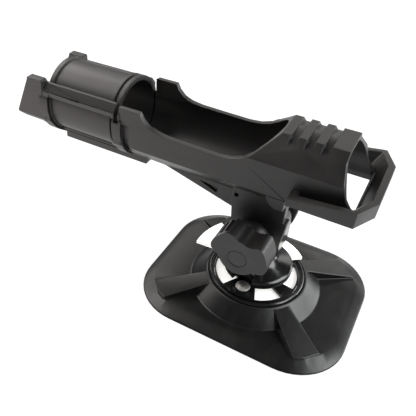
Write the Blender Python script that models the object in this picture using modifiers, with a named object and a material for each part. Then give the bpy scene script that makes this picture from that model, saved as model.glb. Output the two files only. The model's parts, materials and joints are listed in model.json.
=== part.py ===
"""Rod holder: a tilting cradle with a turning lock sleeve, a clamped tilt joint,
a turning post and a quick-release port on a flexible glue-on pad."""

import math

import bmesh
import bpy
from mathutils import Matrix, Vector

MM = 0.001
GAP = 0.3 * MM

# pad
PAD_LENGTH = 150 * MM
PAD_WIDTH = 125 * MM
PAD_CORNER = 37 * MM
PAD_EDGE = 1.4 * MM
PAD_THICK = 5.0 * MM
PAD_CHAMFER = 8.5 * MM
CONE_BASE = 48.5 * MM
CONE_TOP = 35.9 * MM
CONE_HEIGHT = 14.6 * MM
RIB_INNER = 30 * MM
RIB_OUTER = 73 * MM
RIB_HALF_INNER = 5.0 * MM
RIB_HALF_OUTER = 9.5 * MM
RIB_TOP_INNER = 15.0 * MM
RIB_TOP_OUTER = 6.0 * MM
PAD_SKIN = 3.0 * MM

# port
RING_RADIUS = 34.4 * MM
RING_TOP = 16.0 * MM
RING_SEAT = 8.3 * MM
WELL_RADIUS = 30.8 * MM
WELL_FLOOR = 10.5 * MM
CUP_RADIUS = 16.0 * MM
CUP_BORE = 12.9 * MM
DECK_TOP = 12.4 * MM
COVER_TOP = 15.2 * MM
LATCH_TOP = 20.6 * MM
LATCH_INNER = 25.6 * MM
SCREW_CIRCLE = 19.6 * MM
SCREW_ANGLES = (-96, 24, 144)
SCREW_HEAD = 5.3 * MM
SCREW_SHANK = 1.9 * MM
RELEASE_INNER = 25.8 * MM
RELEASE_OUTER = 33.6 * MM
RELEASE_TAB = 48.0 * MM
RELEASE_TOP = 23.2 * MM

# post and tilt joint
PIVOT_X = -1.2 * MM
PIVOT_Z = 64.5 * MM
SPIGOT_RADIUS = 12.6 * MM
HUB_RADIUS = 24.4 * MM
HUB_LOW = 20.2 * MM
HUB_TOP = 27.0 * MM
TONGUE_HALF = 10.4 * MM
TONGUE_RADIUS = 15.5 * MM
BOLT_RADIUS = 4.0 * MM
TILT_PIVOT = (PIVOT_X, 0, PIVOT_Z)
EAR_INNER = 11.4 * MM
EAR_OUTER = 18.2 * MM
EAR_RADIUS = 17.0 * MM
KNOB_CORE = 12.4 * MM
KNOB_WING = 6.7 * MM
KNOB_WING_SPREAD = 41
KNOB_WING_ANGLES = (143, 16)
KNOB_SADDLE = 1.7 * MM
KNOB_SADDLE_ANGLE = 79
KNOB_BACK = 30.0 * MM
KNOB_FRONT = 46.0 * MM

# cradle
AXIS_Z = 113.5 * MM
SLEEVE_PIVOT = (-130 * MM, 0, AXIS_Z)
CRADLE_HALF = 25.8 * MM
BORE_RADIUS = 22.8 * MM
CAGE_HALF = 26.6 * MM
CAGE_SHOULDER = 125.6 * MM
WINDOW_LEFT = -158.7 * MM
WINDOW_RIGHT = -105.05 * MM
NOTCH_LEFT = -103.6 * MM
NOTCH_RIGHT = -100.6 * MM
SCOOP_LEFT = -100 * MM
HOOP_RADIUS = 27.7 * MM
HOOPS = ((-165.9, -157.6), (-106.2, -98.1))
GROOVE_RADIUS = 23.5 * MM
GROOVE_SIDE = 134.8 * MM
FLOOR_RIGHT = 15.2 * MM
GUARD_LOW = 108 * MM
GUARD_TOP = 118 * MM
SLEEVE_RADIUS = 24.7 * MM
SLEEVE_BORE = 22.6 * MM
FLANGE_RADIUS = 26.0 * MM
FLANGES = ((-160.8, -157.2), (-110.0, -107.4), (-105.4, -102.6))
SLEEVE_LEFT = -160.8 * MM
SLEEVE_RIGHT = -102.6 * MM
SLEEVE_SLOT_HALF = 38


def clear_scene():
    for item in list(bpy.data.objects):
        bpy.data.objects.remove(item)


def new_collection(name):
    collection = bpy.data.collections.new(name)
    bpy.context.scene.collection.children.link(collection)
    return collection


clear_scene()
PARTS = new_collection("rod_holder")
CUTTERS = new_collection("cutters")


def material(name, colour, roughness, metallic=0.0):
    made = bpy.data.materials.new(name)
    made.use_nodes = True
    shader = made.node_tree.nodes["Principled BSDF"]
    shader.inputs["Base Color"].default_value = (*colour, 1.0)
    shader.inputs["Roughness"].default_value = roughness
    shader.inputs["Metallic"].default_value = metallic
    return made


NYLON = material("black_nylon", (0.035, 0.034, 0.034), 0.45)
GLOSS = material("gloss_black", (0.012, 0.012, 0.013), 0.12)
RUBBER = material("pad_rubber", (0.028, 0.028, 0.029), 0.55)
PALE = material("pale_acetal", (0.80, 0.79, 0.76), 0.30)
STEEL = material("stainless", (0.62, 0.61, 0.60), 0.25, 1.0)
BRASS = material("brass_insert", (0.66, 0.50, 0.24), 0.35, 1.0)
SEAL = material("seal_rubber", (0.02, 0.02, 0.02), 0.65)


def add_mesh_object(name, mesh, collection=CUTTERS):
    made = bpy.data.objects.new(name, mesh)
    collection.objects.link(made)
    if collection is CUTTERS:
        made.hide_render = True
        made.display_type = "WIRE"
    return made


def from_bmesh(name, bm, collection=CUTTERS):
    bmesh.ops.recalc_face_normals(bm, faces=bm.faces)
    mesh = bpy.data.meshes.new(name)
    bm.to_mesh(mesh)
    bm.free()
    return add_mesh_object(name, mesh, collection)


def publish(thing, name, finish, pivot=(0, 0, 0)):
    """Move a shaped solid to the parts, named and finished, its origin on its pivot."""
    thing.name = name
    thing.data.name = name
    CUTTERS.objects.unlink(thing)
    PARTS.objects.link(thing)
    thing.hide_render = False
    thing.display_type = "TEXTURED"
    thing.data.materials.clear()
    thing.data.materials.append(finish)
    thing.data.shade_smooth()
    thing.data.set_sharp_from_angle(angle=math.radians(30))
    thing.data.transform(Matrix.Translation(-Vector(pivot)) @ thing.matrix_world)
    thing.matrix_world = Matrix.Translation(pivot)
    return thing


def settle(thing):
    """Bake the modifiers of a shape into its mesh, welded."""
    depsgraph = bpy.context.evaluated_depsgraph_get()
    mesh = bpy.data.meshes.new_from_object(thing.evaluated_get(depsgraph))
    bm = bmesh.new()
    bm.from_mesh(mesh)
    bm.transform(thing.matrix_world)
    bmesh.ops.remove_doubles(bm, verts=bm.verts, dist=0.001 * MM)
    name = thing.name
    bpy.data.objects.remove(thing)
    bpy.data.meshes.remove(mesh)
    return from_bmesh(name, bm)


def combine(target, tool, operation):
    change = target.modifiers.new(operation.lower(), "BOOLEAN")
    change.operation = operation
    change.solver = "EXACT"
    change.object = tool
    return target


def cut(target, *tools):
    for tool in tools:
        target = settle(combine(target, tool, "DIFFERENCE"))
        bpy.data.objects.remove(tool)
    return target


def join(target, *tools):
    for tool in tools:
        target = settle(combine(target, tool, "UNION"))
        bpy.data.objects.remove(tool)
    return target


AXIS_FRAMES = {
    "X": Matrix(((0, 0, 1, 0), (1, 0, 0, 0), (0, 1, 0, 0), (0, 0, 0, 1))),
    "Y": Matrix(((1, 0, 0, 0), (0, 0, -1, 0), (0, 1, 0, 0), (0, 0, 0, 1))),
    "Z": Matrix.Identity(4),
}


def prism(name, loops, low, high, axis):
    """Flat outlines, the first with any holes after it, thickened from low to high."""
    curve = bpy.data.curves.new(name, "CURVE")
    curve.dimensions = "2D"
    curve.fill_mode = "BOTH"
    curve.extrude = (high - low) / 2
    for loop in loops:
        spline = curve.splines.new("POLY")
        spline.points.add(len(loop) - 1)
        for point, (a, b) in zip(spline.points, loop):
            point.co = (a, b, 0, 1)
        spline.use_cyclic_u = True
    thing = bpy.data.objects.new(name, curve)
    CUTTERS.objects.link(thing)
    middle = (high + low) / 2
    if axis == "Y":
        middle = -middle
    thing.matrix_world = AXIS_FRAMES[axis] @ Matrix.Translation((0, 0, middle))
    return settle(thing)


def cylinder(name, radius, low, high, axis, centre=(0, 0), segments=48):
    bm = bmesh.new()
    bmesh.ops.create_cone(bm, cap_ends=True, segments=segments, radius1=radius,
                          radius2=radius, depth=high - low)
    middle = (high + low) / 2
    if axis == "Y":
        middle = -middle
    bm.transform(AXIS_FRAMES[axis] @ Matrix.Translation((*centre, middle)))
    return from_bmesh(name, bm)


def box(name, low, high):
    bm = bmesh.new()
    bmesh.ops.create_cube(bm, size=1)
    size = Vector(high) - Vector(low)
    bmesh.ops.scale(bm, vec=size, verts=bm.verts)
    bmesh.ops.translate(bm, vec=(Vector(high) + Vector(low)) / 2, verts=bm.verts)
    return from_bmesh(name, bm)


def turned(name, profile, axis="Z", centre=(0, 0, 0), steps=64):
    """A closed (radius, height) profile, clockwise, turned a full circle."""
    bm = bmesh.new()
    verts = [bm.verts.new((radius, 0, height)) for radius, height in profile]
    for start, end in zip(verts, verts[1:] + verts[:1]):
        bm.edges.new((start, end))
    mesh = bpy.data.meshes.new(name)
    bm.to_mesh(mesh)
    bm.free()
    thing = add_mesh_object(name, mesh)
    screw = thing.modifiers.new("turn", "SCREW")
    screw.axis = "Z"
    screw.angle = math.tau
    screw.steps = steps
    screw.render_steps = steps
    screw.use_merge_vertices = True
    screw.merge_threshold = 0.00001
    thing.matrix_world = Matrix.Translation(centre) @ AXIS_FRAMES[axis]
    return settle(thing)


def arc(radius, start, end, steps, centre=(0, 0)):
    """Points on an arc, by angles in degrees."""
    points = []
    for step in range(steps + 1):
        angle = math.radians(start + (end - start) * step / steps)
        points.append((centre[0] + radius * math.cos(angle), centre[1] + radius * math.sin(angle)))
    return points


def sector(inner, outer, start, end, steps=12):
    return arc(outer, start, end, steps) + arc(inner, end, start, steps)


def round_rectangle(length, width, corner, steps=12):
    points = []
    for turn, sx, sy in ((0, 1, 1), (90, -1, 1), (180, -1, -1), (270, 1, -1)):
        centre = (sx * (length / 2 - corner), sy * (width / 2 - corner))
        points += arc(corner, turn, turn + 90, steps, centre)
    return points


def scaled(*points):
    """Outline points written in millimetres."""
    return [(a * MM, b * MM) for a, b in points]


def soften(thing, width, segments=1, angle=50):
    bevel = thing.modifiers.new("edge", "BEVEL")
    bevel.width = width
    bevel.segments = segments
    bevel.limit_method = "ANGLE"
    bevel.angle_limit = math.radians(angle)
    return settle(thing)


# ---- pad ------------------------------------------------------------------

def pad_slab():
    bm = bmesh.new()
    outline = round_rectangle(PAD_LENGTH, PAD_WIDTH, PAD_CORNER)
    face = bm.faces.new([bm.verts.new((x, y, 0)) for x, y in outline])
    wall = bmesh.ops.extrude_face_region(bm, geom=[face])
    raised = [item for item in wall["geom"] if isinstance(item, bmesh.types.BMVert)]
    bmesh.ops.translate(bm, vec=(0, 0, PAD_EDGE), verts=raised)
    bm.normal_update()
    bmesh.ops.recalc_face_normals(bm, faces=bm.faces)
    top = max(bm.faces, key=lambda one: one.calc_center_median().z)
    bmesh.ops.inset_region(bm, faces=[top], thickness=PAD_CHAMFER,
                           depth=PAD_THICK - PAD_EDGE, use_even_offset=True)
    return from_bmesh("pad_slab", bm)


def pad_rib(angle):
    """A flat-topped rib that widens and falls towards a corner of the pad."""
    outline = [(RIB_INNER, -RIB_HALF_INNER), (RIB_OUTER, -RIB_HALF_OUTER),
               (RIB_OUTER, RIB_HALF_OUTER), (RIB_INNER, RIB_HALF_INNER)]
    rib = prism("rib", [outline], 2 * MM, RIB_TOP_INNER + 2 * MM, "Z")
    bm = bmesh.new()
    bm.from_mesh(rib.data)
    bpy.data.objects.remove(rib)
    fall = Vector((RIB_OUTER - RIB_INNER, 0, RIB_TOP_OUTER - RIB_TOP_INNER))
    normal = Vector((-fall.z, 0, fall.x))
    bmesh.ops.bisect_plane(bm, geom=bm.verts[:] + bm.edges[:] + bm.faces[:], clear_outer=True,
                           plane_co=(RIB_INNER, 0, RIB_TOP_INNER), plane_no=normal)
    bmesh.ops.holes_fill(bm, edges=bm.edges)
    bm.transform(Matrix.Rotation(math.radians(angle), 4, "Z"))
    return from_bmesh("rib", bm)


def pad_body():
    pad = pad_slab()
    bm = bmesh.new()
    bmesh.ops.create_cone(bm, cap_ends=True, segments=64, radius1=CONE_BASE,
                          radius2=CONE_TOP, depth=CONE_HEIGHT - 4 * MM)
    bmesh.ops.translate(bm, vec=(0, 0, CONE_HEIGHT / 2 + 2 * MM), verts=bm.verts)
    pad = join(pad, from_bmesh("cone", bm))
    for angle in (40, 140, 220, 320):
        trimmer = prism("rib_end", [round_rectangle(PAD_LENGTH - 2 * PAD_CHAMFER,
                                                    PAD_WIDTH - 2 * PAD_CHAMFER,
                                                    PAD_CORNER - PAD_CHAMFER)],
                        -1 * MM, 30 * MM, "Z")
        rib = settle(combine(pad_rib(angle), trimmer, "INTERSECT"))
        bpy.data.objects.remove(trimmer)
        pad = join(pad, rib)
    seat = cylinder("seat", RING_RADIUS + GAP, RING_SEAT - GAP, 30 * MM, "Z", segments=64)
    cavity = cylinder("cavity", 27.4 * MM, PAD_SKIN, 20 * MM, "Z", segments=48)
    return publish(cut(pad, seat, cavity), "pad_body", RUBBER)


def backing_ring():
    ring = turned("ring", [(27.0 * MM, 8.0 * MM), (27.0 * MM, 3.4 * MM),
                           (16.5 * MM, 3.4 * MM), (16.5 * MM, 8.0 * MM)])
    for angle in SCREW_ANGLES:
        spot = polar(SCREW_CIRCLE, angle)
        ring = cut(ring, cylinder("hole", SCREW_SHANK + GAP, 0, 20 * MM, "Z", spot, 16))
    return publish(ring, "backing_ring", STEEL)


def polar(radius, angle):
    turn = math.radians(angle)
    return (radius * math.cos(turn), radius * math.sin(turn))


# ---- port -----------------------------------------------------------------

def port_housing():
    """Ring, well and cup in one turned shell."""
    profile = [(RING_RADIUS - 0.9 * MM, RING_TOP), (RING_RADIUS, RING_TOP - 0.9 * MM),
               (RING_RADIUS, RING_SEAT), (CUP_RADIUS, RING_SEAT), (CUP_RADIUS, 3.4 * MM),
               (CUP_BORE, 3.4 * MM), (CUP_BORE, WELL_FLOOR), (WELL_RADIUS, WELL_FLOOR),
               (WELL_RADIUS, 14.4 * MM), (31.6 * MM, 14.4 * MM), (31.9 * MM, RING_TOP - 1.0 * MM),
               (32.9 * MM, RING_TOP - 1.0 * MM), (33.0 * MM, RING_TOP)]
    housing = turned("housing", profile)
    for angle in SCREW_ANGLES:
        spot = polar(SCREW_CIRCLE, angle)
        housing = cut(housing, cylinder("hole", SCREW_SHANK + GAP, 0, 30 * MM, "Z", spot, 16))
    return publish(housing, "port_housing", GLOSS)


def port_deck():
    """Pale wear plate that shows through the cover's windows."""
    deck = turned("deck", [(30.4 * MM, DECK_TOP), (30.4 * MM, WELL_FLOOR + GAP),
                           (13.4 * MM, WELL_FLOOR + GAP), (13.4 * MM, DECK_TOP)])
    for angle in SCREW_ANGLES:
        spot = polar(SCREW_CIRCLE, angle)
        deck = cut(deck, cylinder("hole", SCREW_SHANK + GAP, 0, 30 * MM, "Z", spot, 16))
    return publish(deck, "port_deck", PALE)


def port_cover():
    """Black spider over the deck: hub ring, spokes, screw wells and the latch block."""
    low = DECK_TOP + GAP
    cover = turned("cover", [(30.4 * MM, LATCH_TOP), (30.4 * MM, low),
                             (13.4 * MM, low), (13.4 * MM, LATCH_TOP)])
    top_clear = cylinder("top_clear", LATCH_INNER, COVER_TOP, 40 * MM, "Z")
    side_clear = prism("side_clear", [sector(20 * MM, 40 * MM, 180, 404, 30)],
                       COVER_TOP, 41 * MM, "Z")
    cover = cut(cover, join(top_clear, side_clear))
    for start, end in ((183, 239), (290, 329), (352, 400)):
        window = prism("window", [sector(16.2 * MM, 29.2 * MM, start, end)],
                       0, 30 * MM, "Z")
        cover = cut(cover, window)
    for angle in SCREW_ANGLES:
        spot = polar(SCREW_CIRCLE, angle)
        hole = cylinder("hole", SCREW_SHANK + GAP, 0, 30 * MM, "Z", spot, 16)
        well = cylinder("well", SCREW_HEAD + 0.9 * MM, 13.9 * MM, 40 * MM, "Z", spot, 32)
        cover = cut(cover, hole, well)
    return publish(cover, "port_cover", GLOSS)


def port_screw(index, angle):
    """Pan head with a cross recess, on a plain shank."""
    head_low = 13.9 * MM + GAP
    head_top = 16.6 * MM
    profile = [(0.0, head_top), (2.8 * MM, head_top - 0.2 * MM), (4.4 * MM, head_top - 0.8 * MM),
               (SCREW_HEAD, head_low + 0.7 * MM), (SCREW_HEAD, head_low),
               (SCREW_SHANK, head_low), (SCREW_SHANK, 3.6 * MM), (0.0, 3.6 * MM)]
    screw = turned("screw", profile, steps=32)
    for turn in (0, 90):
        slot = box("slot", (-2.4 * MM, -0.5 * MM, head_top - 1.5 * MM),
                   (2.4 * MM, 0.5 * MM, head_top + 1 * MM))
        slot.matrix_world = Matrix.Rotation(math.radians(turn + 20), 4, "Z")
        screw = cut(screw, settle(slot))
    x, y = polar(SCREW_CIRCLE, angle)
    screw.matrix_world = Matrix.Translation((x, y, 0))
    return publish(screw, f"port_screw_{index}", STEEL)


def release_ring():
    """Part ring behind the hub, with a thumb tab over the cone."""
    low = LATCH_TOP + GAP
    ring = prism("ring", [sector(RELEASE_INNER, RELEASE_OUTER, 40, 186, 24)], low, RELEASE_TOP, "Z")
    tab = prism("tab", [sector(RELEASE_OUTER - 2 * MM, RELEASE_TAB, 148, 184, 10)],
                low, RELEASE_TOP, "Z")
    ring = join(ring, tab)
    return publish(soften(ring, 0.5 * MM), "release_ring", PALE)


def release_spring():
    """Short torsion wire between the latch block and the release ring."""
    radius = 0.45 * MM
    points = arc(24.8 * MM, 60, 165, 16)
    curve = bpy.data.curves.new("spring", "CURVE")
    curve.dimensions = "3D"
    curve.bevel_depth = radius
    curve.bevel_resolution = 2
    curve.use_fill_caps = True
    spline = curve.splines.new("POLY")
    spline.points.add(len(points) - 1)
    for point, (x, y) in zip(spline.points, points):
        point.co = (x, y, 18.4 * MM, 1)
    thing = bpy.data.objects.new("spring", curve)
    CUTTERS.objects.link(thing)
    return publish(settle(thing), "release_spring", STEEL)


# ---- post and tilt joint --------------------------------------------------

def swivel_post():
    """Spigot, hub, neck and tongue of the turning post."""
    profile = [(0.0, 50 * MM), (9.0 * MM, 50 * MM), (9.0 * MM, 40 * MM), (10.5 * MM, 33 * MM),
               (15.0 * MM, 29.0 * MM), (22.6 * MM, HUB_TOP), (HUB_RADIUS, HUB_TOP - 1.6 * MM),
               (HUB_RADIUS, HUB_LOW + 0.8 * MM), (HUB_RADIUS - 0.8 * MM, HUB_LOW),
               (14.4 * MM, HUB_LOW), (14.4 * MM, COVER_TOP + GAP), (SPIGOT_RADIUS, COVER_TOP + GAP),
               (SPIGOT_RADIUS, 7.6 * MM), (11.2 * MM, 7.6 * MM), (11.2 * MM, 5.4 * MM),
               (SPIGOT_RADIUS, 5.4 * MM), (SPIGOT_RADIUS, 4.2 * MM),
               (SPIGOT_RADIUS - 0.8 * MM, 3.5 * MM), (0.0, 3.5 * MM)]
    post = turned("post", profile)
    outline = arc(TONGUE_RADIUS, 0, 180, 20, (PIVOT_X, PIVOT_Z))
    outline += scaled((-16.7, 46), (-11, 34), (11, 34), (14.3, 46))
    tongue = prism("tongue", [outline], -TONGUE_HALF, TONGUE_HALF, "Y")
    post = join(post, tongue)
    notch = cylinder("notch", 7.2 * MM, HUB_LOW - 2 * MM, HUB_TOP + 3 * MM, "Z",
                     polar(22.5 * MM, SCREW_ANGLES[0]), 32)
    bolt_hole = cylinder("bolt_hole", BOLT_RADIUS + 0.1 * MM, -30 * MM, 30 * MM, "Y",
                         (PIVOT_X, PIVOT_Z), 32)
    return publish(cut(post, notch, bolt_hole), "swivel_post", GLOSS)


def spigot_seal():
    seal = turned("seal", [(12.5 * MM, 7.2 * MM), (12.7 * MM, 6.5 * MM), (12.5 * MM, 5.8 * MM),
                           (11.5 * MM, 5.8 * MM), (11.5 * MM, 7.2 * MM)], steps=48)
    return publish(seal, "spigot_seal", SEAL)


def disc(name, finish, outer, inner, low, high, segments=40):
    """A flat ring on the tilt axis, between two stations along Y."""
    ring = cylinder("ring", outer, low, high, "Y", (PIVOT_X, PIVOT_Z), segments)
    hole = cylinder("hole", inner, low - MM, high + MM, "Y", (PIVOT_X, PIVOT_Z), 32)
    return publish(cut(ring, hole), name, finish, TILT_PIVOT)


def pivot_bolt():
    """Hexagon head in the far ear, shank through the joint and into the knob."""
    shank = cylinder("shank", BOLT_RADIUS, -40 * MM, 20 * MM, "Y", (PIVOT_X, PIVOT_Z), 32)
    corners = arc(7.5 * MM, 0, 300, 5, (PIVOT_X, PIVOT_Z))
    head = prism("head", [corners], 19.4 * MM, 24.0 * MM, "Y")
    return publish(join(shank, head), "pivot_bolt", STEEL, TILT_PIVOT)


def knob_outline():
    """Two broad wings over a round core."""
    points = []
    steps = 96
    for step in range(steps):
        angle = 360 * step / steps
        radius = KNOB_CORE
        for wing in KNOB_WING_ANGLES:
            away = (angle - wing + 180) % 360 - 180
            radius += KNOB_WING * math.exp(-(away / KNOB_WING_SPREAD) ** 6)
        away = (angle - KNOB_SADDLE_ANGLE + 180) % 360 - 180
        radius += KNOB_SADDLE * math.exp(-(away / KNOB_WING_SPREAD) ** 4)
        turn = math.radians(angle)
        points.append((PIVOT_X + radius * math.cos(turn), PIVOT_Z + radius * math.sin(turn)))
    return points


def knob_body():
    """Winged grip, a finger channel between the wings and a stepped boss behind."""
    knob = prism("knob", [knob_outline()], -KNOB_FRONT, -KNOB_BACK, "Y")
    channel = cylinder("channel", 8.2 * MM, -KNOB_FRONT - 5 * MM, -KNOB_BACK + 5 * MM, "Y",
                       (PIVOT_X + 6.4 * MM, PIVOT_Z + 20.7 * MM), 40)
    knob = soften(cut(knob, channel), 1.2 * MM, 2)
    boss = turned("boss", [(0.0, 19.4 * MM), (10.4 * MM, 19.4 * MM), (11.8 * MM, 20.8 * MM),
                           (11.8 * MM, 25.0 * MM), (9.4 * MM, 28.4 * MM), (9.4 * MM, 32 * MM),
                           (0.0, 32 * MM)], "Y", (PIVOT_X, 0, PIVOT_Z), 48)
    knob = join(knob, boss)
    bore = cylinder("bore", 6.3 * MM, -40.5 * MM, -10 * MM, "Y", (PIVOT_X, PIVOT_Z), 32)
    cap_seat = cylinder("cap_seat", 6.3 * MM, -50 * MM, -44.4 * MM, "Y", (PIVOT_X, PIVOT_Z), 32)
    return publish(cut(knob, bore, cap_seat), "knob_body", NYLON, TILT_PIVOT)


def knob_cap():
    cap = cylinder("cap", 6.0 * MM, -45.9 * MM, -44.7 * MM, "Y", (PIVOT_X, PIVOT_Z), 32)
    return publish(cap, "knob_cap", NYLON, TILT_PIVOT)


# ---- cradle ---------------------------------------------------------------

def side_trimmers():
    """Side views of everything above the rim, beyond the hood mouth and around the horns."""
    above = scaled((-210, 160), (-210, 132.6), (-163.4, 132.6), (-161.7, 130.5), (-84.5, 130.5),
                   (-82.5, 126.5), (-78.5, 122.6), (-73, 120.4), (-65, 119.3), (-50, 118.9),
                   (-30, 118.6), (-22, 119.4), (-15, 121.9), (-10, 125.4), (-3, 132.4),
                   (2.2, 138.0), (70, 138.0), (70, 160))
    mouth = scaled((41, 160), (41, 133), (44, 125), (47, 116), (50.5, 111), (54, 108),
                   (54, 70), (90, 70), (90, 160))
    front = scaled((-210, 160), (-172, 160), (-175.5, 131.2), (-188.5, 104), (-186, 97.5),
                   (-171, 97.2), (-171, 70), (-210, 70))
    trimmers = []
    for outline in (above, mouth, front):
        trimmers.append(prism("trimmer", [outline], -45 * MM, 45 * MM, "Y"))
    return trimmers


def upper_facet(side):
    """Wedge that turns a square upper corner of the barrel into an octagon facet."""
    corner = CRADLE_HALF * math.tan(math.radians(22.5))
    reach = 20 * MM
    outline = [(side * (CRADLE_HALF + reach), AXIS_Z + corner - reach),
               (side * (corner - reach), AXIS_Z + CRADLE_HALF + reach),
               (side * (CRADLE_HALF + reach), AXIS_Z + CRADLE_HALF + reach)]
    return prism("facet", [outline], -60 * MM, 60 * MM, "X")


def groove_cutter(left, right):
    """Space between the raised blocks, down to a round floor."""
    slope = math.degrees(math.asin((GROOVE_SIDE - AXIS_Z) / GROOVE_RADIUS))
    outline = arc(GROOVE_RADIUS, slope, 180 - slope, 12, (0, AXIS_Z))
    outline += [(-30 * MM, GROOVE_SIDE - 4 * MM), (-30 * MM, 150 * MM),
                (30 * MM, 150 * MM), (30 * MM, GROOVE_SIDE - 4 * MM)]
    return prism("groove", [outline], left * MM, right * MM, "X")


def guard():
    """Flat rail round the open butt end, with a sloping inner face."""
    outer = scaled((17.4, -36), (55.5, -36), (63.5, -20.5), (63.5, 20.5), (55.5, 36), (17.4, 36))
    rail = prism("guard", [outer], GUARD_LOW, GUARD_TOP, "Z")
    bm = bmesh.new()
    low = scaled((23, -27.4), (48.8, -27.4), (54, -20), (54, 20), (48.8, 27.4), (23, 27.4))
    high = scaled((19, -33.4), (54.2, -33.4), (60.2, -19.6), (60.2, 19.6), (54.2, 33.4), (19, 33.4))
    floor = GUARD_LOW + 1.4 * MM
    bottom = bm.faces.new([bm.verts.new((x, y, floor)) for x, y in low])
    top = bm.faces.new([bm.verts.new((x, y, GUARD_TOP + MM)) for x, y in high])
    rims = list(bottom.edges) + list(top.edges)
    bmesh.ops.bridge_loops(bm, edges=rims)
    wedge = prism("wedge", [scaled((10, 111.2), (56, 118.3), (56, 125), (10, 125))],
                  -50 * MM, 50 * MM, "Y")
    return cut(rail, from_bmesh("pocket", bm), wedge)


def deep_section(half, shoulder, lean):
    """Flat-bottomed, straight-sided section in Y and Z, its top corners leaning in."""
    corner = CRADLE_HALF * math.tan(math.radians(22.5))
    top = AXIS_Z + CRADLE_HALF
    inner = half - lean
    return [(half, shoulder), (inner, top), (-inner, top), (-half, shoulder),
            (-half, AXIS_Z - corner), (-corner, AXIS_Z - half),
            (corner, AXIS_Z - half), (half, AXIS_Z - corner)]


def hoops():
    """Low rings at both ends of the cage's windows."""
    rings = []
    for left, right in HOOPS:
        ring = turned("hoop", [(HOOP_RADIUS, right * MM), (HOOP_RADIUS, left * MM),
                               (23.7 * MM, left * MM), (23.7 * MM, right * MM)],
                      "X", (0, 0, AXIS_Z))
        upper = box("upper", (-210 * MM, -40 * MM, 121.1 * MM), (-70 * MM, 40 * MM, 160 * MM))
        rings.append(cut(ring, upper))
    return rings


def collar_recess():
    """Shallow step in both sides of the barrel, right of the cage."""
    ring = turned("recess", [(40 * MM, -92.6 * MM), (40 * MM, -97.8 * MM),
                             (24.4 * MM, -97.8 * MM), (24.4 * MM, -92.6 * MM)],
                  "X", (0, 0, AXIS_Z))
    upper = box("upper", (-110 * MM, -50 * MM, 118.6 * MM), (-80 * MM, 50 * MM, 160 * MM))
    lower = box("lower", (-110 * MM, -50 * MM, 60 * MM), (-80 * MM, 50 * MM, 97 * MM))
    return cut(ring, upper, lower)


def rail_lean(side):
    """Sliver that leans the lower outer face of a cage rail inwards."""
    outline = [(side * (CAGE_HALF + 0.02 * MM), 125.5 * MM), (side * 25.5 * MM, 120.9 * MM),
               (side * 31 * MM, 120.9 * MM), (side * 31 * MM, 125.5 * MM)]
    return prism("rail_lean", [outline], WINDOW_LEFT + MM, WINDOW_RIGHT - MM, "X")


def cradle_shell():
    """Outer form: barrel and cage, keel, web, ears and guard."""
    shell = prism("barrel", [deep_section(CRADLE_HALF, 137 * MM, 1 * MM)],
                  SCOOP_LEFT, 58 * MM, "X")
    shell = cut(shell, upper_facet(-1), upper_facet(1))
    cage = prism("cage", [deep_section(CAGE_HALF, CAGE_SHOULDER, 12 * MM)],
                 -163.1 * MM, -99.2 * MM, "X")
    horns = prism("horns", [deep_section(CAGE_HALF - 0.2 * MM, 137 * MM, MM)],
                  -192 * MM, -162.6 * MM, "X")
    shell = join(shell, cage, horns)
    shell = cut(shell, *side_trimmers())
    shell = join(shell, *hoops())
    keel = box("keel", (-159 * MM, -10 * MM, 82.0 * MM), (-88.8 * MM, 10 * MM, 92 * MM))
    web = prism("web", [scaled((-73.5, 92), (-73.5, 87.2), (-18.4, 71.8), (-18.4, 92))],
                -10.4 * MM, 10.4 * MM, "Y")
    shell = join(shell, keel, web)
    for side in (-1, 1):
        ear_outline = arc(EAR_RADIUS, 186, 354, 18, (PIVOT_X, PIVOT_Z))
        ear_outline += scaled((17.6, 78), (17.6, 87), (15.4, 90.8), (12, 100), (-20, 100), (-20, 86))
        near, far = sorted((side * EAR_INNER, side * EAR_OUTER))
        shell = join(shell, prism("ear", [ear_outline], near, far, "Y"))
        skirt_outline = scaled((2, 106), (3.4, 100.7), (6, 96.8), (9.2, 94.4), (15, 94.6), (15, 106))
        near, far = sorted((side * 17.6 * MM, side * 25.5 * MM))
        shell = join(shell, prism("skirt", [skirt_outline], near, far, "Y"))
    return join(shell, guard())


def sleeve_space():
    """Bore of the cage, stepped out for the sleeve's flanges."""
    outer = SLEEVE_RADIUS + GAP
    deep = FLANGE_RADIUS + GAP
    profile = [(outer, SLEEVE_RIGHT + MM)]
    for left, right in reversed(FLANGES):
        left_side = left * MM - GAP
        right_side = right * MM + GAP
        profile += [(outer, right_side), (deep, right_side), (deep, left_side), (outer, left_side)]
    profile += [(outer, -200 * MM), (0.0, -200 * MM), (0.0, SLEEVE_RIGHT + MM)]
    return turned("sleeve_space", profile, "X", (0, 0, AXIS_Z))


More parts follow.
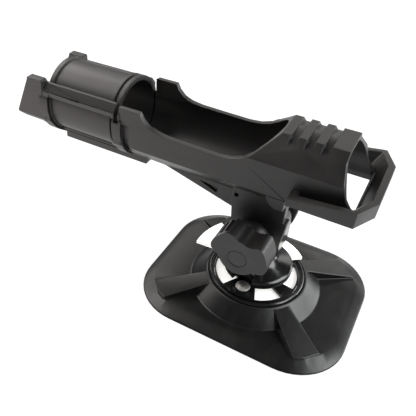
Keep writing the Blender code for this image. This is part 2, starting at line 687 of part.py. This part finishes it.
def cradle_body():
    shell = cradle_shell()
    bore = cylinder("bore", BORE_RADIUS, -102.2 * MM, 52 * MM, "X", (0, AXIS_Z), 64)
    shell = cut(shell, bore, sleeve_space(), collar_recess())
    under = box("under", (FLOOR_RIGHT, -21.6 * MM, 80 * MM), (52.6 * MM, 21.6 * MM, 112 * MM))
    under_wide = box("under_wide", (FLOOR_RIGHT + MM, -40 * MM, 80 * MM),
                     (90 * MM, 40 * MM, 103 * MM))
    shell = cut(shell, under, under_wide)
    shoulder_gap = box("shoulder_gap", (-103 * MM, -22.2 * MM, AXIS_Z + 4 * MM),
                       (-76 * MM, 22.2 * MM, 150 * MM))
    rail_gap = box("rail_gap", (-200 * MM, -20.4 * MM, 119 * MM), (-102 * MM, 20.4 * MM, 150 * MM))
    shell = cut(shell, shoulder_gap, rail_gap)
    for side in (-1, 1):
        window = box("window", (WINDOW_LEFT, side * 24 * MM - 10 * MM, 90.3 * MM),
                     (WINDOW_RIGHT, side * 24 * MM + 10 * MM, 121.4 * MM))
        notch = box("notch", (NOTCH_LEFT, side * 24 * MM - 8 * MM, 119 * MM),
                    (NOTCH_RIGHT, side * 24 * MM + 8 * MM, 135 * MM))
        near, far = sorted((side * 8.7 * MM, side * 20 * MM))
        slit = prism("slit", [scaled((-47, 85.0), (-33, 83.4), (-34, 79.6))], near, far, "Y")
        shell = cut(shell, window, notch, slit, rail_lean(side))
    for left, right in ((7.4, 11.9), (16.8, 21.5), (26.5, 30.9)):
        shell = cut(shell, groove_cutter(left, right))
    bolt_hole = cylinder("bolt_hole", BOLT_RADIUS + GAP, -30 * MM, 30 * MM, "Y", (PIVOT_X, PIVOT_Z), 32)
    return publish(cut(shell, bolt_hole), "cradle_body", NYLON, TILT_PIVOT)


def lock_sleeve():
    """Turning C-shaped sleeve with flanges; its slot faces down when it is shut."""
    profile = [(SLEEVE_RADIUS, SLEEVE_RIGHT)]
    for left, right in reversed(FLANGES):
        profile += [(SLEEVE_RADIUS, right * MM), (FLANGE_RADIUS, right * MM),
                    (FLANGE_RADIUS, left * MM), (SLEEVE_RADIUS, left * MM)]
    profile = profile[2:-1]
    profile += [(SLEEVE_BORE, SLEEVE_LEFT), (SLEEVE_BORE, SLEEVE_RIGHT)]
    sleeve = turned("sleeve", profile, "X", (0, 0, AXIS_Z), 72)
    low = -90 - SLEEVE_SLOT_HALF
    high = -90 + SLEEVE_SLOT_HALF
    wedge = [(0, AXIS_Z)] + arc(60 * MM, low, high, 6, (0, AXIS_Z))
    slot = prism("slot", [wedge], -200 * MM, -50 * MM, "X")
    return publish(cut(sleeve, slot), "lock_sleeve", NYLON, SLEEVE_PIVOT)


def main():
    pad_body()
    backing_ring()
    port_housing()
    port_deck()
    port_cover()
    for index, angle in enumerate(SCREW_ANGLES, 1):
        port_screw(index, angle)
    release_ring()
    release_spring()
    swivel_post()
    spigot_seal()
    disc("friction_washer_near", SEAL, 13.5 * MM, 4.6 * MM, -11.1 * MM, -10.7 * MM)
    disc("friction_washer_far", SEAL, 13.5 * MM, 4.6 * MM, 10.7 * MM, 11.1 * MM)
    disc("thrust_washer", STEEL, 9.0 * MM, 4.5 * MM, -19.1 * MM, -18.5 * MM)
    disc("head_washer", STEEL, 9.0 * MM, 4.5 * MM, 18.5 * MM, 19.1 * MM)
    disc("knob_insert", BRASS, 6.0 * MM, 4.3 * MM, -39.5 * MM, -20.0 * MM, 32)
    pivot_bolt()
    knob_body()
    knob_cap()
    cradle_body()
    lock_sleeve()


main()
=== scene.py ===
# Rod holder: the visible pieces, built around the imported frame.
import json
import math

import bmesh
import bpy
from mathutils import Matrix, Vector


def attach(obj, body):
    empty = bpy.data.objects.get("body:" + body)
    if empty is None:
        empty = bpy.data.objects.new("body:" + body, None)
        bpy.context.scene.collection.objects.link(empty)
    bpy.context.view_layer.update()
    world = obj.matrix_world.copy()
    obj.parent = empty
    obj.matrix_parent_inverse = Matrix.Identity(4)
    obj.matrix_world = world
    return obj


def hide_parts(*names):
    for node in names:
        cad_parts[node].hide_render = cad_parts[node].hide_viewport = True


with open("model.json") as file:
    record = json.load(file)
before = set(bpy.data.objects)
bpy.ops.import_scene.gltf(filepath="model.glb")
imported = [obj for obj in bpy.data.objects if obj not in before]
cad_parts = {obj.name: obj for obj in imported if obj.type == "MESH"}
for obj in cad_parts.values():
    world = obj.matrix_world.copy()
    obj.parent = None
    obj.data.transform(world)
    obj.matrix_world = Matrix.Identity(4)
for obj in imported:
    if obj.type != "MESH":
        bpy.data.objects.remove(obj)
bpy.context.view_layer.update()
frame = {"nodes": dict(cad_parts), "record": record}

mm = 0.001
print("frame loaded:", len(frame["nodes"]), "nodes")


# A long lens from above the near side, rolled a little.
camera = {
    "place": (0.0692, -0.2681, 0.2910),
    "aim": (-0.391, 0.656, -0.645),
    "roll": 0.65,
    "lens": 45.0,
    "sensor": 36.0,
    "shift": (0.1377, 0.0162),
    "near": 0.01,
}


def placeCamera():
    eye = bpy.data.cameras.new("camera")
    eye.lens = camera["lens"]
    eye.sensor_width = camera["sensor"]
    eye.shift_x, eye.shift_y = camera["shift"]
    eye.clip_start = camera["near"]
    forward = Vector(camera["aim"]).normalized()
    right = forward.cross(Vector((0, 0, 1))).normalized()
    up = right.cross(forward)
    turn = math.radians(camera["roll"])
    right, up = (right * math.cos(turn) + up * math.sin(turn),
                 up * math.cos(turn) - right * math.sin(turn))
    holder = bpy.data.objects.new("camera", eye)
    bpy.context.scene.collection.objects.link(holder)
    rows = [(right[i], up[i], -forward[i], camera["place"][i]) for i in range(3)]
    holder.matrix_world = Matrix((*rows, (0, 0, 0, 1)))
    bpy.context.scene.camera = holder


placeCamera()
print("camera placed")


# A socket wrapped so that sums and products of patterns add their Math nodes.
class Value:
    def __init__(self, tree, socket):
        self.tree = tree
        self.socket = socket

    def maths(self, operation, first, second):
        made = self.tree.nodes.new("ShaderNodeMath")
        made.operation = operation
        connect(self.tree, made.inputs[0], first)
        connect(self.tree, made.inputs[1], second)
        return Value(self.tree, made.outputs[0])

    def __add__(self, other):
        return self.maths("ADD", self, other)

    def __radd__(self, other):
        return self.maths("ADD", other, self)

    def __mul__(self, other):
        return self.maths("MULTIPLY", self, other)

    def __rmul__(self, other):
        return self.maths("MULTIPLY", other, self)


def connect(tree, target, item):
    if isinstance(item, Value):
        tree.links.new(item.socket, target)
    elif target.type == "RGBA":
        target.default_value = (*item, 1.0)
    else:
        target.default_value = item


# Mix nodes have one set of sockets for each kind of data; these are the colour ones.
mixSockets = {"factor": 0, "first": 6, "second": 7, "result": 2}


class Finish:
    def __init__(self, name, fixed):
        self.material = bpy.data.materials.new(name)
        self.material.use_nodes = True
        self.tree = self.material.node_tree
        self.shader = self.tree.nodes["Principled BSDF"]
        for socket, item in fixed.items():
            self.feed(socket, item)
        self.place = self.node("ShaderNodeTexCoord", {}, {}, "Object")

    def node(self, kind, settings, sockets, out=0):
        made = self.tree.nodes.new(kind)
        for key, item in settings.items():
            setattr(made, key, item)
        for key, item in sockets.items():
            connect(self.tree, made.inputs[key], item)
        return Value(self.tree, made.outputs[out])

    def ramp(self, source, ends, levels=(0.0, 1.0)):
        return self.node("ShaderNodeMapRange", {"interpolation_type": "SMOOTHSTEP"}, {
            "Value": source, "From Min": ends[0], "From Max": ends[1],
            "To Min": levels[0], "To Max": levels[1]})

    # Noise on the object's own coordinates, stretched, turned and ramped as the row says.
    def pattern(self, row):
        where = self.place
        if "stretch" in row:
            where = self.node("ShaderNodeMapping", {}, {
                "Vector": self.place, "Scale": row["stretch"], "Rotation": row["turn"]})
        scale, detail, rough = row["noise"]
        noise = self.node("ShaderNodeTexNoise", {}, {
            "Vector": where, "Scale": scale, "Detail": detail, "Roughness": rough})
        return self.ramp(noise, row["ramp"]) if "ramp" in row else noise

    def axis(self, name):
        return self.node("ShaderNodeSeparateXYZ", {}, {"Vector": self.place}, name)

    def tint(self, mask, first, second):
        return self.node("ShaderNodeMix", {"data_type": "RGBA"}, {
            mixSockets["factor"]: mask, mixSockets["first"]: first,
            mixSockets["second"]: second}, mixSockets["result"])

    def feed(self, socket, item):
        connect(self.tree, self.shader.inputs[socket], item)


# Each look names its patterns, then says how much of each goes into the colour mask,
# the roughness and the bump height.
nylonLook = {
    "name": "blackNylon",
    "fixed": {"IOR": 1.5},
    "patterns": {
        "cloud": {"noise": (34.0, 4.0, 0.6), "ramp": (0.3, 0.7)},
        "grain": {"noise": (1500.0, 2.0, 0.6)},
        "scuff": {"noise": (11.0, 5.0, 0.7), "ramp": (0.5, 0.72),
                  "stretch": (1.0, 9.0, 9.0), "turn": (0, 0, 0)},
    },
    "colours": ((0.010, 0.0092, 0.0092), (0.021, 0.0192, 0.0188)),
    "mask": {"cloud": 0.7, "grain": 0.3},
    "roughness": 0.36,
    "rougher": {"cloud": 0.05, "grain": 0.06, "scuff": 0.06},
    "height": {"grain": 1.0, "cloud": 0.3},
    "bump": (0.16, 0.00012),
}

glossLook = {
    "name": "glossBlack",
    "fixed": {"IOR": 1.52},
    "patterns": {
        "cloud": {"noise": (60.0, 3.0, 0.5), "ramp": (0.35, 0.7)},
        "fine": {"noise": (900.0, 2.0, 0.5)},
        "hair": {"noise": (55.0, 6.0, 0.8), "ramp": (0.58, 0.7),
                 "stretch": (1.0, 14.0, 4.0), "turn": (0.2, 0.5, 0.7)},
    },
    "colours": ((0.005, 0.005, 0.0055), (0.010, 0.010, 0.0105)),
    "mask": {"cloud": 1.0},
    "roughness": 0.16,
    "rougher": {"cloud": 0.05, "hair": 0.10},
    "height": {"fine": 0.4, "hair": 0.2},
    "bump": (0.05, 0.0001),
}

padLook = {
    "name": "padRubber",
    "fixed": {"IOR": 1.5},
    "patterns": {
        "cloud": {"noise": (26.0, 5.0, 0.65), "ramp": (0.3, 0.72)},
        "grain": {"noise": (1300.0, 2.0, 0.6)},
        "dust": {"noise": (240.0, 6.0, 0.8), "ramp": (0.62, 0.75)},
        "streak": {"noise": (30.0, 4.0, 0.6), "ramp": (0.45, 0.7),
                   "stretch": (6.0, 1.2, 1.0), "turn": (0, 0, 0.7)},
    },
    "colours": ((0.0028, 0.0028, 0.0028), (0.007, 0.007, 0.0068)),
    "mask": {"cloud": 0.8, "dust": 0.2},
    "roughness": 0.27,
    "rougher": {"cloud": 0.07, "grain": 0.05, "streak": 0.05},
    "height": {"grain": 1.0, "dust": 0.5},
    "bump": (0.18, 0.00012),
}

# Pale acetal with a painted glow: its emission makes it shine near white, standing in for bright
# light falling on it.
paleGlowLook = {
    "name": "paleAcetalPaintedGlow",
    "fixed": {"IOR": 1.48, "Emission Color": (0.95, 0.94, 0.92), "Emission Strength": 0.7},
    "patterns": {
        "cloud": {"noise": (48.0, 4.0, 0.6), "ramp": (0.3, 0.7)},
        "grain": {"noise": (1100.0, 2.0, 0.6)},
    },
    "colours": ((0.78, 0.77, 0.74), (0.90, 0.89, 0.87)),
    "mask": {"cloud": 1.0},
    "roughness": 0.30,
    "rougher": {"cloud": 0.06, "grain": 0.05},
    "height": {"grain": 1.0},
    "bump": (0.08, 0.0001),
}

steelLook = {
    "name": "stainless",
    "fixed": {"Metallic": 1.0},
    "patterns": {
        "brushed": {"noise": (420.0, 4.0, 0.7), "stretch": (1.0, 1.0, 0.15), "turn": (0, 0, 0)},
        "stain": {"noise": (160.0, 4.0, 0.6), "ramp": (0.35, 0.7)},
    },
    "colours": ((0.55, 0.52, 0.49), (0.88, 0.87, 0.85)),
    "mask": {"stain": 0.6, "brushed": 0.4},
    "roughness": 0.55,
    "rougher": {"brushed": 0.16, "stain": 0.06},
    "height": {"brushed": 1.0},
    "bump": (0.10, 0.0001),
}

brassLook = {
    **steelLook,
    "name": "brassInsert",
    "colours": ((0.50, 0.36, 0.16), (0.78, 0.60, 0.30)),
    "roughness": 0.26,
}

sealLook = {
    "name": "sealRubber",
    "fixed": {"IOR": 1.5},
    "patterns": {
        "grain": {"noise": (1700.0, 3.0, 0.7)},
        "cloud": {"noise": (120.0, 3.0, 0.6), "ramp": (0.3, 0.7)},
    },
    "colours": ((0.010, 0.010, 0.010), (0.026, 0.026, 0.025)),
    "mask": {"cloud": 1.0},
    "roughness": 0.58,
    "rougher": {"grain": 0.1, "cloud": 0.05},
    "height": {"grain": 1.0},
    "bump": (0.2, 0.00012),
}

looks = {
    "black_nylon": nylonLook,
    "gloss_black": glossLook,
    "pad_rubber": padLook,
    "pale_acetal": paleGlowLook,
    "stainless": steelLook,
    "brass_insert": brassLook,
    "seal_rubber": sealLook,
}


def blended(patterns, weights):
    return sum(patterns[name] * weight for name, weight in weights.items())


def makeFinish(look):
    finish = Finish(look["name"], look["fixed"])
    patterns = {name: finish.pattern(row) for name, row in look["patterns"].items()}
    dark, light = look["colours"]
    finish.feed("Base Color", finish.tint(blended(patterns, look["mask"]), dark, light))
    finish.feed("Roughness", blended(patterns, look["rougher"]) + look["roughness"])
    strength, depth = look["bump"]
    finish.feed("Normal", finish.node("ShaderNodeBump", {}, {
        "Height": blended(patterns, look["height"]), "Strength": strength, "Distance": depth}))
    return finish.material


finishes = {slot: makeFinish(look) for slot, look in looks.items()}
print("finishes made:", len(finishes))


nodeBody = {}
for body, members in frame["record"]["behaviour"]["bodies"].items():
    for member in members:
        nodeBody[member] = body
nodeSlot = {part["node"]: part["material_slot"] for part in frame["record"]["subparts"]}

# Lengths in millimetres and angles in degrees, here and in the pieces' settings.
cleaning = {"merge": 0.004, "flat": 0.6, "sides": 4}
softening = {"segments": 2, "angle": 34}
shading = {"angle": 32}


def newObject(name, bm):
    mesh = bpy.data.meshes.new(name)
    bm.to_mesh(mesh)
    bm.free()
    made = bpy.data.objects.new(name, mesh)
    bpy.context.scene.collection.objects.link(made)
    return made


def settled(thing):
    graph = bpy.context.evaluated_depsgraph_get()
    mesh = bpy.data.meshes.new_from_object(thing.evaluated_get(graph))
    thing.modifiers.clear()
    thing.data = mesh
    return thing


# A bevel goes wrong on large faces with many corners, so these are split first.
def splitWide(bm):
    wide = [face for face in bm.faces if len(face.verts) > cleaning["sides"]]
    bmesh.ops.triangulate(bm, faces=wide, quad_method="BEAUTY", ngon_method="BEAUTY")


def mergedCopy(node):
    near = cleaning["merge"] * mm
    flat = math.radians(cleaning["flat"])
    bm = bmesh.new()
    bm.from_mesh(frame["nodes"][node].data)
    bmesh.ops.remove_doubles(bm, verts=bm.verts, dist=near)
    bmesh.ops.dissolve_degenerate(bm, edges=bm.edges, dist=near)
    bmesh.ops.dissolve_limit(bm, angle_limit=flat, verts=bm.verts, edges=bm.edges)
    splitWide(bm)
    bmesh.ops.recalc_face_normals(bm, faces=bm.faces)
    return bm


def softened(thing, width):
    bevel = thing.modifiers.new("edge", "BEVEL")
    bevel.width = width * mm
    bevel.segments = softening["segments"]
    bevel.limit_method = "ANGLE"
    bevel.angle_limit = math.radians(softening["angle"])
    bevel.use_clamp_overlap = False
    bevel.loop_slide = False
    bevel.miter_outer = "MITER_ARC"
    return settled(thing)


def finished(thing, node):
    thing.data.materials.clear()
    thing.data.materials.append(finishes[nodeSlot[node]])
    thing.data.shade_smooth()
    thing.data.set_sharp_from_angle(angle=math.radians(shading["angle"]))
    even = thing.modifiers.new("even", "WEIGHTED_NORMAL")
    even.keep_sharp = True
    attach(thing, nodeBody[node])
    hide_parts(node)


def carved(thing, tool):
    change = thing.modifiers.new("carve", "BOOLEAN")
    change.operation = "DIFFERENCE"
    change.solver = "EXACT"
    change.object = tool
    settled(thing)
    bpy.data.objects.remove(tool)


# A cylinder along Y between two depths, at an X and Z place.
def rod(radius, span, place, segments):
    low, high = span
    alongY = Matrix(((1, 0, 0), (0, 0, -1), (0, 1, 0))).to_4x4()
    middle = -(high + low) / 2
    bm = bmesh.new()
    bmesh.ops.create_cone(bm, cap_ends=True, segments=segments, radius1=radius * mm,
                          radius2=radius * mm, depth=(high - low) * mm)
    bmesh.ops.translate(bm, vec=(place[0] * mm, place[1] * mm, middle * mm), verts=bm.verts)
    bmesh.ops.transform(bm, matrix=alongY, verts=bm.verts)
    return newObject("tool", bm)


def brick(low, high, lean):
    size = Vector(high) - Vector(low)
    middle = (Vector(high) + Vector(low)) / 2
    turn = Matrix.Rotation(math.radians(lean), 3, "Y")
    bm = bmesh.new()
    bmesh.ops.create_cube(bm, size=mm)
    bmesh.ops.scale(bm, vec=size, verts=bm.verts)
    bmesh.ops.rotate(bm, matrix=turn, verts=bm.verts)
    bmesh.ops.translate(bm, vec=middle * mm, verts=bm.verts)
    return newObject("tool", bm)


# Cradle, with a screw pocket in its near side and a parting seam across each rail.
cradle = {
    "edge": 0.4,
    "pocketRadius": 1.4,
    "pocketSpan": (-19.2, -14.0),
    "pocketPlace": (-17.0, 89.6),
    "pocketSegments": 16,
    "seamAlong": (-132.3, -131.9),
    "seamUp": (117.0, 134.0),
    "seamAcross": ((-28.0, -26.2), (26.2, 28.0)),
    "seamLean": -15.0,
}


def makeCradle():
    shell = newObject("cradleShell", mergedCopy("cradle_body"))
    carved(shell, rod(cradle["pocketRadius"], cradle["pocketSpan"], cradle["pocketPlace"],
                      cradle["pocketSegments"]))
    start, end = cradle["seamAlong"]
    bottom, top = cradle["seamUp"]
    for near, far in cradle["seamAcross"]:
        carved(shell, brick((start, near, bottom), (end, far, top), cradle["seamLean"]))
    bm = bmesh.new()
    bm.from_mesh(shell.data)
    splitWide(bm)
    bm.to_mesh(shell.data)
    bm.free()
    finished(softened(shell, cradle["edge"]), "cradle_body")


# Knob, with finger flutes along the back of its left wing, placed round its axis.
knob = {
    "axis": (-1.2, 64.5),
    "fluteAngles": (108, 122, 136, 150, 164, 178),
    "fluteReach": 20.1,
    "fluteRadius": 1.9,
    "fluteSpan": (-43.5, -27.0),
    "fluteSegments": 20,
}


def makeKnob():
    grip = newObject("knobBody", mergedCopy("knob_body"))
    for angle in knob["fluteAngles"]:
        turn = math.radians(angle)
        place = (knob["axis"][0] + knob["fluteReach"] * math.cos(turn),
                 knob["axis"][1] + knob["fluteReach"] * math.sin(turn))
        carved(grip, rod(knob["fluteRadius"], knob["fluteSpan"], place, knob["fluteSegments"]))
    finished(grip, "knob_body")


# Copies of CAD nodes that only get softer edges: the node and the edge's width.
softCopies = {
    "lockSleeve": ("lock_sleeve", 0.35),
    "padBody": ("pad_body", 0.8),
    "portHousing": ("port_housing", 0.25),
    "portCover": ("port_cover", 0.35),
    "portDeck": ("port_deck", 0.2),
    "releaseRing": ("release_ring", 0.3),
    "swivelPost": ("swivel_post", 0.5),
    "knobCap": ("knob_cap", 0.25),
    "pivotBolt": ("pivot_bolt", 0.35),
    "portScrew1": ("port_screw_1", 0.12),
    "portScrew2": ("port_screw_2", 0.12),
    "portScrew3": ("port_screw_3", 0.12),
}


makeCradle()
makeKnob()
print("made cradle and knob")
replaced = {"cradle_body", "knob_body"}
for name, (node, width) in softCopies.items():
    finished(softened(newObject(name, mergedCopy(node)), width), node)
    replaced.add(node)
    print("made", name)

# The other CAD nodes keep their shape and get their finish.
for node, thing in frame["nodes"].items():
    if node not in replaced:
        thing.data.materials.clear()
        thing.data.materials.append(finishes[nodeSlot[node]])
print("finished", len(frame["nodes"]) - len(replaced), "nodes as they are")


# Lengths in metres. The floor glows more toward the front left, and the panels hang
# round the aim, each one a way and a distance from it.
room = {
    "floorSize": 6.0,
    "floorDrop": 0.0002,
    "floorFixed": {"Base Color": (0.14, 0.14, 0.14), "Roughness": 0.9, "Emission Strength": 1.0},
    "floorGlows": ((0.92, 0.92, 0.92), (1.6, 1.5, 1.44)),
    "glowAlong": (-0.30, -0.03),
    "glowAcross": (-0.14, -0.03),
    "glowLevels": (1.0, 0.0),
    "sky": (0.10, 0.10, 0.102),
    "aim": (-0.03, 0.0, 0.07),
    "away": 1.3,
    "panels": {
        "left": {"way": (-0.66, 0.10, 0.68), "size": (1.3, 1.0), "glow": 4.4,
                 "tone": (1.0, 0.96, 0.93)},
        "backLeft": {"way": (-0.34, 0.80, 0.50), "size": (0.9, 0.4), "glow": 1.6,
                     "tone": (1.0, 0.98, 0.95)},
        "back": {"way": (0.22, 0.93, 0.34), "size": (0.8, 0.3), "glow": 2.4,
                 "tone": (1.0, 0.98, 0.96)},
        "right": {"way": (0.80, 0.16, 0.62), "size": (1.0, 0.85), "glow": 7.5,
                  "tone": (0.97, 1.0, 0.99)},
        "rightBack": {"way": (0.75, 0.66, 0.12), "size": (0.8, 0.3), "glow": 7.0,
                      "tone": (0.97, 1.0, 0.98)},
    },
}


def layFloor():
    bm = bmesh.new()
    bmesh.ops.create_grid(bm, x_segments=1, y_segments=1, size=room["floorSize"] / 2)
    bmesh.ops.translate(bm, vec=(0, 0, -room["floorDrop"]), verts=bm.verts)
    floor = newObject("floor", bm)
    finish = Finish("floorPaper", room["floorFixed"])
    along = finish.ramp(finish.axis("X"), room["glowAlong"], room["glowLevels"])
    across = finish.ramp(finish.axis("Y"), room["glowAcross"], room["glowLevels"])
    plain, bright = room["floorGlows"]
    finish.feed("Emission Color", finish.tint(along * across, plain, bright))
    floor.data.materials.append(finish.material)


# A panel's power grows with its area, so glow is its brightness.
def hangPanels():
    for name, panel in room["panels"].items():
        light = bpy.data.lights.new(name, "AREA")
        light.shape = "RECTANGLE"
        light.size, light.size_y = panel["size"]
        light.energy = panel["glow"] * math.pi * light.size * light.size_y
        light.color = panel["tone"]
        holder = bpy.data.objects.new(name, light)
        bpy.context.scene.collection.objects.link(holder)
        way = Vector(panel["way"]).normalized()
        holder.location = Vector(room["aim"]) + way * room["away"]
        holder.rotation_euler = way.to_track_quat("Z", "Y").to_euler()


def setRoom():
    world = bpy.data.worlds.new("room")
    world.use_nodes = True
    world.node_tree.nodes["Background"].inputs["Color"].default_value = (*room["sky"], 1)
    bpy.context.scene.world = world
    bpy.context.scene.view_settings.view_transform = "Standard"
    bpy.context.scene.view_settings.look = "None"


layFloor()
hangPanels()
setRoom()
print("room lit")
